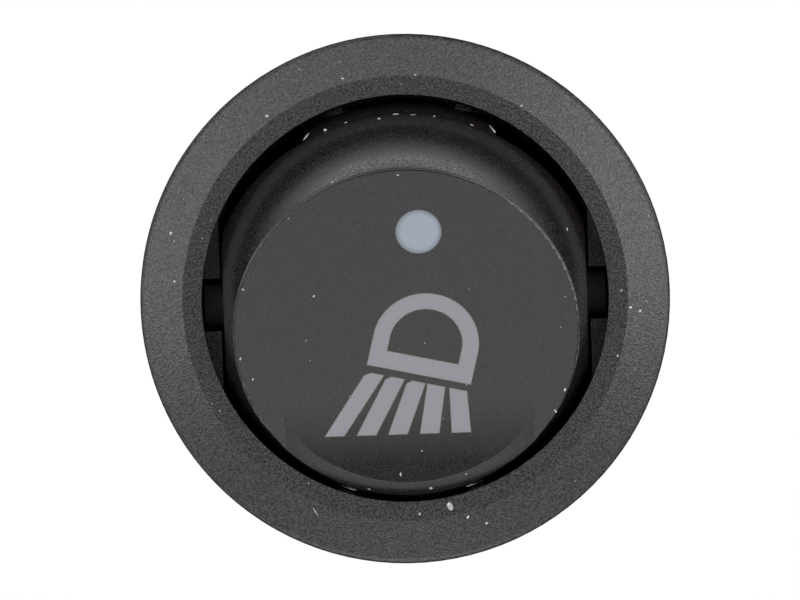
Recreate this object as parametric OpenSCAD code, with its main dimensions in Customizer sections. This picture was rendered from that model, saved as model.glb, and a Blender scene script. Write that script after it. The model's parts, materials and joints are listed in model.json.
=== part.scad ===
// Round panel rocker switch with an indicator lens, snap-in barrel and blade terminals.
// Origin: centre of the bezel's seat on the panel. +Z points out of the panel,
// +Y towards the indicator end of the rocker, +X along the rocker's pivot.

/* [Bezel] */
// Outer diameter of the bezel
bezel_d = 23; // [21.6:0.1:26]
// Height of the upright rim at the bezel's edge
bezel_rim_h = 0.95; // [0.6:0.05:1.4]
// Radius of the rounding between rim and sloping band
bezel_edge_r = 0.3; // [0.1:0.05:0.45]
// Slope of the band between rim and land, in degrees
bezel_slope = 17; // [5:1:22]
// Width of the flat land round the well
land_w = 0.83; // [0.5:0.01:1.2]

/* [Barrel] */
// Outer diameter of the barrel behind the panel
barrel_d = 19.8; // [19.4:0.1:20.6]
// Wall between the barrel's outside and the well
barrel_wall = 1.07; // [0.9:0.01:1.2]
// Depth of the barrel behind the panel
barrel_depth = 13.2; // [12.8:0.1:16]
// How far the straight side ledges stand into the well
ledge_out = 0.8; // [0.6:0.02:0.9]
// Depth of the ledge tops below the land
ledge_drop = 1.2; // [0.6:0.1:1.3]
// Height of the ledges
ledge_h = 3.7; // [3.2:0.1:4.4]

/* [Snap fingers] */
// Width of each snap finger
finger_w = 5; // [4:0.2:6]
// Width of the slots round a finger
finger_slot = 0.7; // [0.5:0.1:1]
// Depth of the finger's free end below the seat
finger_top = 2.1; // [1:0.1:2.4]
// Length of a finger
finger_len = 7.6; // [6:0.2:9]
// How far the barb stands out of the barrel
barb_out = 0.75; // [0.4:0.05:1]
// Steps in the barb's catch, for panels of different thickness
barb_steps = 3; // [2:1:5]
// Height of one step
barb_step_h = 0.7; // [0.5:0.05:0.9]
// Width of the key that stops the barrel turning
key_w = 1.2; // [0.8:0.1:2]
// How far the key stands out of the barrel
key_out = 0.5; // [0.3:0.05:0.6]
// Length of the key
key_len = 4.5; // [3:0.5:8]

/* [Rocker] */
// Height of the face above the pivot
face_h = 4.35; // [4:0.05:4.8]
// Rounding of the face's edge
face_edge_r = 0.14; // [0.05:0.01:0.3]
// Depth of the pivot below the land
pivot_drop = 2.6; // [2.3:0.05:2.8]
// Tilt of the rocker to each side of level, in degrees
tilt = 20.5; // [14:0.5:20.5]
// Wall of the rocker
rocker_wall = 1.1; // [0.8:0.05:1.2]
// Height of the skirt's lower edge above the pivot
skirt_h = 0.5; // [0.2:0.05:1]
// Width of the skirt's deeper tongue at each end
tongue_w = 8.27; // [6:0.1:9]
// Diameter of the pivot stubs
stub_d = 2.2; // [1.8:0.1:2.4]
// Width of the lug behind each pivot stub
lug_w = 4.6; // [4:0.1:5.4]
// Depth of the lugs below the pivot
lug_drop = 1.6; // [1.4:0.1:1.8]
// Thickness of the web across the rocker
web_t = 1; // [0.8:0.1:1.4]
// Depth of the web below the face's underside
web_h = 2.2; // [1:0.1:2.6]

/* [Finger lip] */
// Distance from the face's edge to where the lip starts to rise
lip_w = 4.36; // [3.8:0.02:5]
// Radius of the curve up into the lip
lip_curve_r = 16; // [12:0.5:20]
// Steepest slope of the lip, in degrees
lip_slope = 10; // [8:0.5:12]
// Width of the level crest between the slope and the face's edge
lip_crest_w = 0.72; // [0.5:0.02:1]
// Draft of the lip's outer side, in degrees
lip_draft = 19; // [10:1:30]

/* [Indicator] */
// Diameter of the indicator lens
lens_d = 2; // [1.5:0.1:3]
// Offset of the lens to the right of the middle
lens_x = 0.66; // [-1:0.02:1]
// Distance of the lens outwards of the middle between boss and wall
lens_out = 0.1; // [-0.2:0.02:0.4]
// Diameter of the lens's flange under the face
lens_flange_d = 3.2; // [3:0.1:3.6]
// Thickness of the lens's flange
lens_flange_t = 0.8; // [0.5:0.1:1]

/* [Plunger] */
// Outer diameter of the boss that guides the plunger
boss_d = 4.4; // [4:0.1:5]
// Depth of the boss below the pivot
boss_drop = 2.6; // [2:0.1:3]
// Height of the blind end of the boss's bore above the pivot
bore_top = 2.3; // [1.6:0.1:2.5]
// Diameter of the plunger, with a ball-shaped tip of the same diameter
plunger_d = 2.2; // [1.8:0.1:2.6]
// How far the plunger reaches up into the boss
plunger_hold = 1; // [0.8:0.1:1.4]
// Length of the spigot that centres the spring
spigot_len = 0.8; // [0.4:0.1:1]
// Diameter of the spring's wire
wire_d = 0.3; // [0.2:0.02:0.4]
// Coils in the spring
coils = 6; // [4:0.5:8]

/* [Contact lever] */
// Thickness of the contact strip
lever_t = 0.5; // [0.4:0.05:0.6]
// Width of the contact strip
lever_w = 4.4; // [3.6:0.1:4.6]
// Slope of the two inner legs of the strip, in degrees
lever_v = 15; // [12:0.5:15]
// Distance from the middle to the bend between inner leg and arm
lever_bend = 2.7; // [2.3:0.1:2.9]
// How far each arm reaches past the contact
arm_over = 0.1; // [0.05:0.05:0.3]
// Height of the lever's pivot above the base
lever_lift = 2.81; // [2.7:0.01:3]
// Swing of the lever to each side of level, in degrees
lever_swing = 10; // [8:0.5:10.5]
// Diameter of the lever's pivot tabs
tab_d = 0.8; // [0.6:0.05:0.9]
// Length of the tabs' roots in the strip
tab_root = 0.4; // [0.3:0.05:0.6]
// Distance of the contact from the middle
contact_y = 4.8; // [4.6:0.05:5]
// Diameter of the contact heads
contact_d = 2.2; // [1.8:0.1:2.4]
// Thickness of the contact heads
contact_t = 0.6; // [0.4:0.05:0.8]
// Diameter of the contact rivets' shanks
shank_d = 1.2; // [0.8:0.1:1.4]
// Thickness and overhang of the rivet's upset head
rivet_t = 0.25; // [0.2:0.05:0.3]
// Radius of the moving contact's dome
dome_r = 3; // [2.5:0.1:5]

/* [Terminals] */
// Width of the blades
blade_w = 4.8; // [2.8:0.1:5]
// Thickness of the blades
blade_t = 0.8; // [0.5:0.1:0.8]
// Length of the blades below the base
blade_len = 8; // [6:0.5:10]
// Diameter of the hole in each blade
blade_hole_d = 1.4; // [1:0.1:1.8]
// Distance of the hole from the blade's tip
blade_hole_up = 3.6; // [3:0.1:4.5]
// Chamfer at the blade's tip
blade_tip = 0.9; // [0.4:0.1:1.2]
// Gap between the load blade and the fixed contact's rivet
load_gap = 0.1; // [0.05:0.05:0.2]
// How far the load terminal's shelf reaches past the contact
shelf_over = 0.4; // [0.2:0.1:0.6]
// Distance of the lamp and earth terminals from the middle
side_x = 5.8; // [5.6:0.1:6.2]
// Width of the terminals' solder tails
tail_w = 1; // [0.7:0.1:1.2]
// Width of the supply terminal's strap and ears
ear_w = 2.6; // [2.2:0.1:2.8]
// Thickness of the ears
ear_t = 0.8; // [0.6:0.1:0.8]
// Gap between the lever's edges and the ears
ear_gap = 0.2; // [0.1:0.05:0.3]
// Height of the ears above the lever's pivot
ear_rise = 0.35; // [0.3:0.05:0.6]

/* [Base] */
// Thickness of the base
base_t = 2.6; // [2.2:0.1:3]
// Width of the shoulder that the base seats on
seat_out = 0.3; // [0.2:0.05:0.5]
// Height of the base's seat flange
seat_h = 0.5; // [0.4:0.05:0.6]
// Width of the stop under the lever's far arm
stop_w = 1.2; // [1:0.1:1.6]
// Width of the lugs that lock the base in the barrel
lock_w = 4; // [3:0.2:5]
// Height of the lugs
lock_h = 1.2; // [0.8:0.1:1.4]
// Height of the lugs' underside above the barrel's end
lock_up = 0.7; // [0.5:0.1:1]
// How far the lugs reach into the barrel's wall
lock_out = 0.7; // [0.4:0.1:0.9]

/* [Lamp board] */
// Height of the board's underside above the base
board_lift = 3; // [2.6:0.1:3.2]
// Thickness of the board
board_t = 0.8; // [0.6:0.1:1]
// Diameter of the posts that carry the board
post_d = 1.8; // [1.4:0.1:2]
// Direction of the posts from the pivot's line, in degrees
post_angle = 32; // [30:1:36]
// Width of the board's opening for the contact lever
board_slot = 7.2; // [7:0.1:7.6]
// Length of the lamps
led_l = 2.2; // [2:0.1:2.8]
// Width of the lamps
led_w = 1.4; // [1.2:0.1:1.8]
// Height of the lamps
led_h = 1.3; // [1:0.1:1.6]
// Diameter of the round window in the lamps
led_window_d = 1; // [0.8:0.05:1.1]
// Length of the resistors
chip_l = 2; // [1.6:0.1:2.2]
// Width of the resistors
chip_w = 1.25; // [0.8:0.05:1.3]
// Height of the resistors
chip_h = 0.5; // [0.4:0.05:0.6]
// Distance of the resistors from the pivot's line
chip_y = 2; // [1.9:0.1:2.2]
// Length of the protection diode
diode_l = 2.4; // [2:0.1:2.6]
// Width of the protection diode
diode_w = 1.3; // [1.2:0.05:1.4]
// Height of the protection diode
diode_h = 0.95; // [0.8:0.05:1.1]
// Diameter of the wire link to the board
link_d = 0.6; // [0.5:0.05:0.8]
// How far link and solder tails stand out of the board
solder_up = 0.5; // [0.3:0.1:0.6]

/* [Clearances] */
// Clearance between the rocker's ball-shaped side and the well
rocker_gap = 0.19; // [0.15:0.01:0.3]
// Clearance at the ends of the pivot stubs
stub_gap = 0.12; // [0.08:0.02:0.2]
// Least clearance between the rocker's tongues and the lamp board
board_gap = 0.9; // [0.5:0.1:1.2]
// Clearance round the lamp board
board_edge_gap = 0.3; // [0.2:0.05:0.4]
// Space between parts on the board and the edges beside them
part_gap = 0.4; // [0.2:0.05:0.5]
// Running clearance round pivot stubs, tabs and plunger
run_gap = 0.05; // [0.02:0.01:0.08]
// Clearance between the rocker's flats and the ledges
side_gap = 0.18; // [0.1:0.02:0.3]
// Clearance between parts that are assembled and stay put
fit_gap = 0.05; // [0.02:0.01:0.1]
// Least gap between the plunger's tip and the contact lever
tip_gap = 0.1; // [0.08:0.01:0.15]
// Gap left at the contacts and at the lever's stop
touch_gap = 0.06; // [0.04:0.01:0.1]

/* [Hidden] */
$fn = 96;
EPS = 0.01;

bezel_r = bezel_d / 2;
barrel_r = barrel_d / 2;
well_r = barrel_r - barrel_wall;
land_r = well_r + land_w;
land_z = bezel_rim_h + (bezel_r - land_r) * tan(bezel_slope);
ledge_x = well_r - ledge_out;
ledge_top = land_z - ledge_drop;
ledge_bottom = ledge_top - ledge_h;
pivot_z = land_z - pivot_drop;

base_bottom = -barrel_depth;
base_top = base_bottom + base_t;
base_r = well_r - fit_gap;
board_z = base_top + board_lift;
board_top = board_z + board_t;
board_r = base_r - board_edge_gap;

rocker_r = well_r - rocker_gap;
face_r = sqrt(pow(rocker_r, 2) - pow(face_h, 2));
flat_x = ledge_x - side_gap;
stub_end = well_r - stub_gap;
cavity_top = face_h - rocker_wall;
tongue_drop = rocker_r * sin(asin((pivot_z - board_top - board_gap) / rocker_r) - tilt);
cavity_r = sqrt(pow(rocker_r - rocker_wall, 2) - pow(cavity_top, 2));
lens_y = (boss_d / 2 + cavity_r) / 2 + lens_out;
lip_start = face_r - lip_w;
lip_end = face_r - lip_crest_w;
lip_h = lip_curve_r * (1 - cos(lip_slope))
    + (lip_end - lip_start - lip_curve_r * sin(lip_slope)) * tan(lip_slope);
// The crest is crowned so that its inner edge keeps to the face's edge: the crown
// falls as far as the lip does on a circle, half-way round.
crown_side = lip_end * sin(45);
crown_drop = lip_h - lip_curve_r + sqrt(pow(lip_curve_r, 2) - pow(crown_side - lip_start, 2));
crown_r = (pow(crown_side, 2) + pow(crown_drop, 2)) / (2 * crown_drop);

tip_r = plunger_d / 2;
lever_z = base_top + lever_lift;
lever_vertex = lever_t / 2 / cos(lever_v);
tip_drop = pivot_z - lever_z - (tip_r + tip_gap) / cos(lever_v) - lever_vertex;
plunger_top = plunger_hold - boss_drop;
spring_r = tip_r - wire_d / 2 - 0.02;

lever_reach = contact_y + contact_d / 2 + arm_over;
arm_h = lever_bend * tan(lever_v);
dome_y = -contact_y * cos(lever_swing) - (arm_h - lever_t / 2 - contact_t + dome_r) * sin(lever_swing);
dome_low = -contact_y * sin(lever_swing) + (arm_h - lever_t / 2 - contact_t + dome_r) * cos(lever_swing)
    - dome_r;
shelf_z = lever_z + dome_low - touch_gap - contact_t;
load_y = -dome_y + shank_d / 2 + load_gap + blade_t / 2;
ear_x = lever_w / 2 + ear_gap;

led_x = board_slot / 2 + part_gap + led_w / 2;
led_y = sqrt(pow(board_r - part_gap, 2) - pow(led_x + led_w / 2, 2)) - led_l / 2;
diode_x = board_slot / 2 + part_gap / 4 + diode_w / 2;
diode_y = sqrt(pow(board_r - part_gap, 2) - pow(diode_x + diode_w / 2, 2)) - diode_l / 2;
link_x = board_slot / 2 + link_d * 1.5;

// ---- helpers ---------------------------------------------------------------

// Turns a profile drawn in Y (right) and Z (up) into a bar of width w along X.
module along_x(w) {
    rotate([90, 0, 90]) linear_extrude(w, center = true) children();
}

// Puts a rocker part, drawn level round its pivot, where it is at rest.
module at_rocker() {
    translate([0, 0, pivot_z]) rotate([tilt, 0, 0]) children();
}

// Puts a lever part, drawn level round its pivot, where it is at rest.
module at_lever() {
    translate([0, 0, lever_z]) rotate([-lever_swing, 0, 0]) children();
}

// A box from one corner to the other.
module box(low, high) {
    translate(low) cube(high - low);
}

// ---- housing ---------------------------------------------------------------

module bezel_profile() {
    shoulder = bezel_edge_r * tan((90 - bezel_slope) / 2);
    difference() {
        polygon([
            [well_r, 0], [bezel_r, 0], [bezel_r, bezel_rim_h], [land_r, land_z], [well_r, land_z]
        ]);
        difference() {
            polygon([
                [bezel_r, bezel_rim_h - shoulder], [bezel_r + EPS, bezel_rim_h + EPS],
                [bezel_r - shoulder * cos(bezel_slope), bezel_rim_h + shoulder * sin(bezel_slope)]
            ]);
            translate([bezel_r - bezel_edge_r, bezel_rim_h - shoulder]) circle(bezel_edge_r);
        }
    }
}

// Stepped barb on the outside of a snap finger, in radius and height.
module barb_profile() {
    steps = [for (i = [0:barb_steps - 1]) each [
        [barrel_r + barb_out * (i + 1) / barb_steps, -finger_top - i * barb_step_h],
        [barrel_r + barb_out * (i + 1) / barb_steps, -finger_top - (i + 1) * barb_step_h]
    ]];
    polygon(concat(
        [[barrel_r - 0.5, -finger_top]], steps,
        [[barrel_r - 0.5, -finger_top - finger_len * 0.85]]
    ));
}

module finger_slots() {
    outer = finger_w / 2 + finger_slot;
    difference() {
        box([-outer, well_r - 0.6, -finger_top - finger_len],
            [outer, barrel_r + 0.2, -finger_top + finger_slot]);
        box([-finger_w / 2, 0, -finger_top - finger_len - EPS],
            [finger_w / 2, barrel_r + 1, -finger_top]);
    }
}

module stub_slot() {
    r = stub_d / 2 + run_gap;
    intersection() {
        union() {
            translate([0, 0, pivot_z]) rotate([0, 90, 0]) cylinder(h = bezel_d, r = r, center = true);
            box([-bezel_r, -r, pivot_z], [bezel_r, r, ledge_top + EPS]);
        }
        cylinder(h = 4 * ledge_h, r = well_r, center = true);
    }
}

module housing() color("#3b3a3c") {
    difference() {
        union() {
            rotate_extrude() bezel_profile();
            translate([0, 0, -barrel_depth]) cylinder(h = barrel_depth + EPS, r = barrel_r);
            box([barrel_r - 0.3, -key_w / 2, -key_len], [barrel_r + key_out, key_w / 2, EPS]);
            for (side = [0, 180])
                rotate([0, 0, side]) along_x(finger_w - 1) barb_profile();
        }
        translate([0, 0, ledge_top]) cylinder(h = bezel_d, r = well_r);
        translate([0, 0, -barrel_depth - 1])
            cylinder(h = barrel_depth + 1 + ledge_bottom, r = well_r);
        translate([0, 0, -barrel_depth - 1])
            cylinder(h = 1 + seat_h + fit_gap, r = well_r + seat_out);
        intersection() {
            translate([0, 0, ledge_bottom - EPS]) cylinder(h = ledge_h + 2 * EPS, r = well_r);
            cube([2 * ledge_x, bezel_d, 4 * ledge_h], center = true);
        }
        stub_slot();
        for (side = [0, 180]) rotate([0, 0, side]) {
            finger_slots();
            rotate([0, 0, 90]) lock_space(fit_gap);
        }
    }
}

// ---- base ------------------------------------------------------------------

// Lock lug of the base, or with a gap the window that it springs into.
module lock_space(gap = 0) {
    z = base_bottom + lock_up;
    box([-lock_w / 2 - gap, base_r - 0.6, z - gap],
        [lock_w / 2 + gap, base_r + lock_out + (gap > 0 ? barrel_r : 0), z + lock_h + gap]);
}

module board_posts() {
    for (a = [post_angle, 180 - post_angle, 180 + post_angle, -post_angle])
        rotate([0, 0, a]) translate([base_r - post_d / 2 - fit_gap, 0, base_top - EPS])
            cylinder(h = board_lift + EPS, r = post_d / 2);
}

module blade_slot(w) {
    box([-w / 2 - fit_gap, -blade_t / 2 - fit_gap, base_bottom - 1],
        [w / 2 + fit_gap, blade_t / 2 + fit_gap, base_top + 1]);
}

module base() color("#26262a") {
    arm_low = lever_z - lever_reach * sin(lever_swing)
        + (arm_h - lever_t / 2) * cos(lever_swing);
    difference() {
        union() {
            translate([0, 0, base_bottom]) cylinder(h = base_t, r = base_r);
            translate([0, 0, base_bottom]) cylinder(h = seat_h, r = base_r + seat_out);
            for (side = [90, 270]) rotate([0, 0, side]) lock_space();
            board_posts();
            box([-lever_w / 3, lever_reach - stop_w, base_top - EPS],
                [lever_w / 3, lever_reach + stop_w / 3, arm_low - touch_gap]);
            box([-blade_w / 2, -load_y + blade_t, base_top - EPS],
                [blade_w / 2, dome_y + contact_d / 2 + shelf_over, shelf_z - blade_t]);
        }
        blade_slot(blade_w);
        translate([0, -load_y, 0]) blade_slot(blade_w);
        for (side = [-1, 1])
            translate([side * side_x, 0, 0]) rotate([0, 0, 90]) blade_slot(blade_w);
    }
}

// ---- rocker ----------------------------------------------------------------

// Half profile of the ball-sided blank with a flat top and a rounded edge.
module blank_profile(top, edge) {
    low = -tongue_drop - 1;
    edge_z = top - edge;
    edge_y = sqrt(pow(rocker_r - edge, 2) - pow(edge_z, 2));
    grow = rocker_r / (rocker_r - edge);
    intersection() {
        circle(rocker_r);
        translate([0, low]) square([rocker_r, edge_z * grow - low]);
    }
    polygon([
        [0, low], [edge_y, low], [edge_y * grow, edge_z * grow], [edge_y, edge_z],
        [edge_y, top], [0, top]
    ]);
    translate([edge_y, edge_z]) circle(edge);
}

// Section of the finger lip: a curve up from the face, then a straight slope.
module lip_section() {
    curve_y = -lip_start - lip_curve_r * sin(lip_slope);
    curve_z = face_h + lip_curve_r * (1 - cos(lip_slope));
    difference() {
        polygon([
            [-lip_start, 0], [-lip_start, face_h], [curve_y, curve_z],
            [-rocker_r - 1, curve_z + (rocker_r + 1 + curve_y) * tan(lip_slope)], [-rocker_r - 1, 0]
        ]);
        translate([-lip_start, face_h + lip_curve_r]) circle(lip_curve_r);
    }
}

// Blank of the lip: round, with a drafted side that grows out of the face's edge.
module lip_blank() {
    edge_z = face_h - face_edge_r;
    edge_y = sqrt(pow(rocker_r - face_edge_r, 2) - pow(edge_z, 2)) + face_edge_r * cos(45);
    foot_z = edge_z + face_edge_r * sin(45);
    top = face_h + lip_h;
    rotate_extrude()
        polygon([
            [0, 0], [edge_y, 0], [edge_y, foot_z], [edge_y - (top - foot_z) * tan(lip_draft), top], [0, top]
        ]);
}

module rocker_blank() {
    rotate_extrude() blank_profile(face_h, face_edge_r);
    intersection() {
        lip_blank();
        along_x(2 * rocker_r) lip_section();
        translate([0, 0, face_h + lip_h - crown_r]) rotate([90, 0, 0])
            cylinder(h = rocker_r, r = crown_r);
    }
}

// The space that the skirt, the lugs and the end tongues are left in.
module skirt_space() {
    r = rocker_r + 1;
    box([-r, -r, skirt_h], [r, r, face_h + 2]);
    box([-r, -lug_w / 2, -lug_drop], [r, lug_w / 2, skirt_h + EPS]);
    box([-tongue_w / 2, -r, -tongue_drop], [tongue_w / 2, r, skirt_h + EPS]);
}

module rocker_cavity() {
    intersection() {
        sphere(rocker_r - rocker_wall);
        box([-flat_x + rocker_wall, -rocker_r, -rocker_r], [flat_x - rocker_wall, rocker_r, cavity_top]);
    }
}

module rocker_body() {
    difference() {
        intersection() {
            rocker_blank();
            skirt_space();
            cube([2 * flat_x, 3 * rocker_r, 3 * rocker_r], center = true);
        }
        rocker_cavity();
    }
    for (side = [-1, 1])
        translate([side * (flat_x - 0.5), 0, 0]) rotate([0, side * 90, 0])
            cylinder(h = stub_end - flat_x + 0.5, r = stub_d / 2);
    intersection() {
        union() {
            translate([0, 0, -boss_drop]) cylinder(h = boss_drop + cavity_top + EPS, r = boss_d / 2);
            box([-flat_x, -web_t / 2, cavity_top - web_h], [flat_x, web_t / 2, cavity_top + EPS]);
        }
        cube([2 * flat_x - rocker_wall, 3 * rocker_r, 3 * rocker_r], center = true);
    }
}

module rocker() color("#48464a") at_rocker() {
    difference() {
        rocker_body();
        translate([0, 0, -boss_drop - 1])
            cylinder(h = boss_drop + 1 + bore_top, r = plunger_d / 2 + run_gap);
        translate([lens_x, lens_y, cavity_top - 1]) cylinder(h = rocker_wall + 2, r = lens_d / 2);
    }
}

module indicator_lens() color("#c9ced6") at_rocker() translate([lens_x, lens_y, 0]) {
    translate([0, 0, cavity_top - EPS]) cylinder(h = rocker_wall + EPS, r = lens_d / 2 - 0.01);
    translate([0, 0, cavity_top - lens_flange_t]) cylinder(h = lens_flange_t, r = lens_flange_d / 2);
}

// ---- plunger ---------------------------------------------------------------

module plunger() color("#e8e6df") at_rocker() {
    translate([0, 0, -tip_drop]) {
        sphere(tip_r);
        cylinder(h = tip_drop + plunger_top, r = tip_r);
    }
    translate([0, 0, plunger_top - EPS]) cylinder(h = spigot_len, r = spring_r - wire_d / 2 - 0.1);
}

// Points of one ring of a wire whose middle is at p, seen along the coil.
function ring(p, angle, r, sides) = [
    for (i = [0:sides - 1]) let (a = 360 * i / sides)
        p + r * cos(a) * [cos(angle), sin(angle), 0] + r * sin(a) * [0, 0, 1]
];

module coil(radius, wire, height, turns) {
    sides = 8;
    rings = ceil(turns * 16);
    points = [
        for (i = [0:rings]) let (a = 360 * turns * i / rings)
            each ring([radius * cos(a), radius * sin(a), height * i / rings], a, wire / 2, sides)
    ];
    sleeve = [
        for (i = [0:rings - 1], k = [0:sides - 1]) let (n = (k + 1) % sides)
            each [
                [i * sides + k, (i + 1) * sides + n, i * sides + n],
                [i * sides + k, (i + 1) * sides + k, (i + 1) * sides + n]
            ]
    ];
    start = [for (k = [0:sides - 1]) k];
    end = [for (k = [sides - 1:-1:0]) rings * sides + k];
    polyhedron(points, concat(sleeve, [start, end]));
}

module plunger_spring() color("#b9bcc0") at_rocker() {
    low = plunger_top + wire_d / 2 + EPS;
    translate([0, 0, low]) coil(spring_r, wire_d, bore_top - low - wire_d / 2 - EPS, coils);
}

// ---- contact lever ---------------------------------------------------------

// A strip of the lever's thickness from one point to another, with round ends.
module strip(a, b) {
    run = b - a;
    translate(a) rotate(atan2(run.y, run.x)) translate([0, -lever_t / 2]) square([norm(run), lever_t]);
    for (p = [a, b]) translate(p) circle(lever_t / 2);
}

module lever_section() {
    for (side = [-1, 1]) {
        strip([0, 0], [side * lever_bend, arm_h]);
        strip([side * lever_bend, arm_h], [side * (lever_reach - lever_t / 2), arm_h]);
    }
}

module contact_lever() color("#b87333") at_lever() {
    difference() {
        along_x(lever_w) lever_section();
        translate([0, -contact_y, 0]) cylinder(h = 4 * arm_h, r = shank_d / 2);
    }
    for (side = [-1, 1])
        rotate([0, side * 90, 0]) translate([0, 0, lever_w / 2 - tab_root])
            cylinder(h = ear_x + ear_t - lever_w / 2 + tab_root, r = tab_d / 2);
}

module moving_contact() color("#cfd2d6") at_lever() translate([0, -contact_y, arm_h - lever_t / 2]) {
    intersection() {
        translate([0, 0, -contact_t]) cylinder(h = contact_t, r = contact_d / 2);
        translate([0, 0, -contact_t + dome_r]) sphere(dome_r);
    }
    translate([0, 0, -EPS]) cylinder(h = lever_t + rivet_t, r = shank_d / 2);
    translate([0, 0, lever_t]) cylinder(h = rivet_t, r = shank_d / 2 + rivet_t);
}

// ---- terminals -------------------------------------------------------------

// Flat blade in the X-Z plane: chamfered tip, hole, and shank up to height top.
module blade(top) {
    tip = base_bottom - blade_len;
    half = blade_w / 2;
    rotate([90, 0, 0]) linear_extrude(blade_t, center = true) difference() {
        polygon([
            [-half, top], [-half, tip + blade_tip], [-half + blade_tip, tip],
            [half - blade_tip, tip], [half, tip + blade_tip], [half, top]
        ]);
        translate([0, tip + blade_hole_up]) circle(blade_hole_d / 2);
    }
}

module supply_terminal() color("#b5a642") {
    outer = ear_x + ear_t;
    half = ear_w / 2;
    tab_r = tab_d / 2 + run_gap;
    ear_top = lever_z + ear_rise;
    blade(base_top + EPS);
    box([-outer, -half, base_top], [outer, half, base_top + blade_t]);
    for (side = [-1, 1]) translate([side * (ear_x + ear_t / 2), 0, 0])
        difference() {
            along_x(ear_t) polygon([
                [-half, base_top], [half, base_top], [half, lever_z - tab_d], [tab_r * 2, ear_top],
                [-tab_r * 2, ear_top], [-half, lever_z - tab_d]
            ]);
            translate([0, 0, lever_z]) rotate([0, 90, 0])
                cylinder(h = 2 * ear_t, r = tab_r, center = true);
            box([-ear_t, -tab_r, lever_z], [ear_t, tab_r, ear_top + EPS]);
        }
}

// Blade with a shelf for the contact, and a tab at one side of it for the wire link.
module load_terminal() color("#b5a642") {
    low = shelf_z - blade_t;
    translate([0, -load_y, 0]) blade(shelf_z);
    difference() {
        box([-blade_w / 2, -load_y - blade_t / 2, low],
            [blade_w / 2, dome_y + contact_d / 2 + shelf_over, shelf_z]);
        translate([0, dome_y, low - EPS]) cylinder(h = blade_t + 2 * EPS, r = shank_d / 2);
    }
    box([blade_w / 2 - EPS, dome_y - link_d, low], [link_x + link_d, dome_y + link_d, shelf_z]);
}

module fixed_contact() color("#cfd2d6") translate([0, dome_y, 0]) {
    translate([0, 0, shelf_z]) cylinder(h = contact_t, r = contact_d / 2);
    translate([0, 0, shelf_z - blade_t]) cylinder(h = blade_t + EPS, r = shank_d / 2);
}

// Blade at one side with a narrow tail that is soldered into the lamp board.
module side_terminal() {
    blade(base_top + 0.6);
    box([-tail_w / 2, -blade_t / 2, base_top], [tail_w / 2, blade_t / 2, board_top + solder_up]);
}

module earth_terminal() color("#c9c2a0") translate([side_x, 0, 0]) rotate([0, 0, 90]) side_terminal();

module lamp_terminal() color("#c9c2a0") translate([-side_x, 0, 0]) rotate([0, 0, 90]) side_terminal();

// ---- lamp board ------------------------------------------------------------

module circuit_board() color("#1f6b3a") difference() {
    translate([0, 0, board_z]) cylinder(h = board_t, r = board_r);
    box([-board_slot / 2, -well_r, board_z - 1], [board_slot / 2, lever_reach + part_gap, board_top + 1]);
    for (x = [-side_x, side_x])
        translate([x, 0, board_z - 1]) cylinder(h = board_t + 2, r = norm([tail_w, blade_t]) / 2 + fit_gap);
    translate([link_x, dome_y, board_z - 1]) cylinder(h = board_t + 2, r = link_d / 2 + fit_gap);
}

// Wire pin between the load terminal's shelf and the board.
module board_link() color("#c9c2a0") {
    translate([link_x, dome_y, shelf_z]) cylinder(h = board_top + solder_up - shelf_z, r = link_d / 2);
}

// Lamp package: a white body with a round window that holds the emitter.
module led(x, y) translate([x, y, board_top]) {
    difference() {
        box([-led_w / 2, -led_l / 2, 0], [led_w / 2, led_l / 2, led_h]);
        translate([0, 0, led_h / 2])
            cylinder(h = led_h / 2 + EPS, r1 = led_window_d / 3, r2 = led_window_d / 2);
    }
    for (end = [-1, 1]) translate([0, end * led_l / 2, 0])
        box([-led_w / 3, -0.12, 0], [led_w / 3, 0.12, led_h / 2]);
}

module indicator_led() color("#f2f0e6") led(led_x, led_y);

module symbol_led() color("#f2f0e6") led(-led_x, led_y);

// Chip part: a body with a metal cap at each end, lying along Y.
module chip(x, y, l, w, h) translate([x, y, board_top]) {
    box([-w / 2, -l / 2, 0], [w / 2, l / 2, h]);
    for (end = [-1, 1]) translate([0, end * (l / 2 - 0.2), 0])
        box([-w / 2 - 0.03, -0.2, 0], [w / 2 + 0.03, 0.2, h + 0.03]);
}

module indicator_resistor() color("#202022") chip(side_x, -chip_y, chip_l, chip_w, chip_h);

module symbol_resistor() color("#202022") chip(-side_x, -chip_y, chip_l, chip_w, chip_h);

module protection_diode() color("#2c2c30") chip(-diode_x, -diode_y, diode_l, diode_w, diode_h);

// ---- assembly --------------------------------------------------------------

housing();
base();
rocker();
indicator_lens();
plunger();
plunger_spring();
contact_lever();
moving_contact();
fixed_contact();
supply_terminal();
load_terminal();
earth_terminal();
lamp_terminal();
circuit_board();
board_link();
indicator_led();
symbol_led();
indicator_resistor();
symbol_resistor();
protection_diode();
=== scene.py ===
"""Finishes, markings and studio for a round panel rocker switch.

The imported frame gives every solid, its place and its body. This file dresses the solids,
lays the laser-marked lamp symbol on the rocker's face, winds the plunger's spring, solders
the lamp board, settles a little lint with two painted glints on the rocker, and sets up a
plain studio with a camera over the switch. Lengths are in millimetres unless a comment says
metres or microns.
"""

import json
import logging
import math
import random
from dataclasses import dataclass, field, replace
from enum import Enum

import bmesh
import bpy
from mathutils import Matrix, Vector


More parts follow.
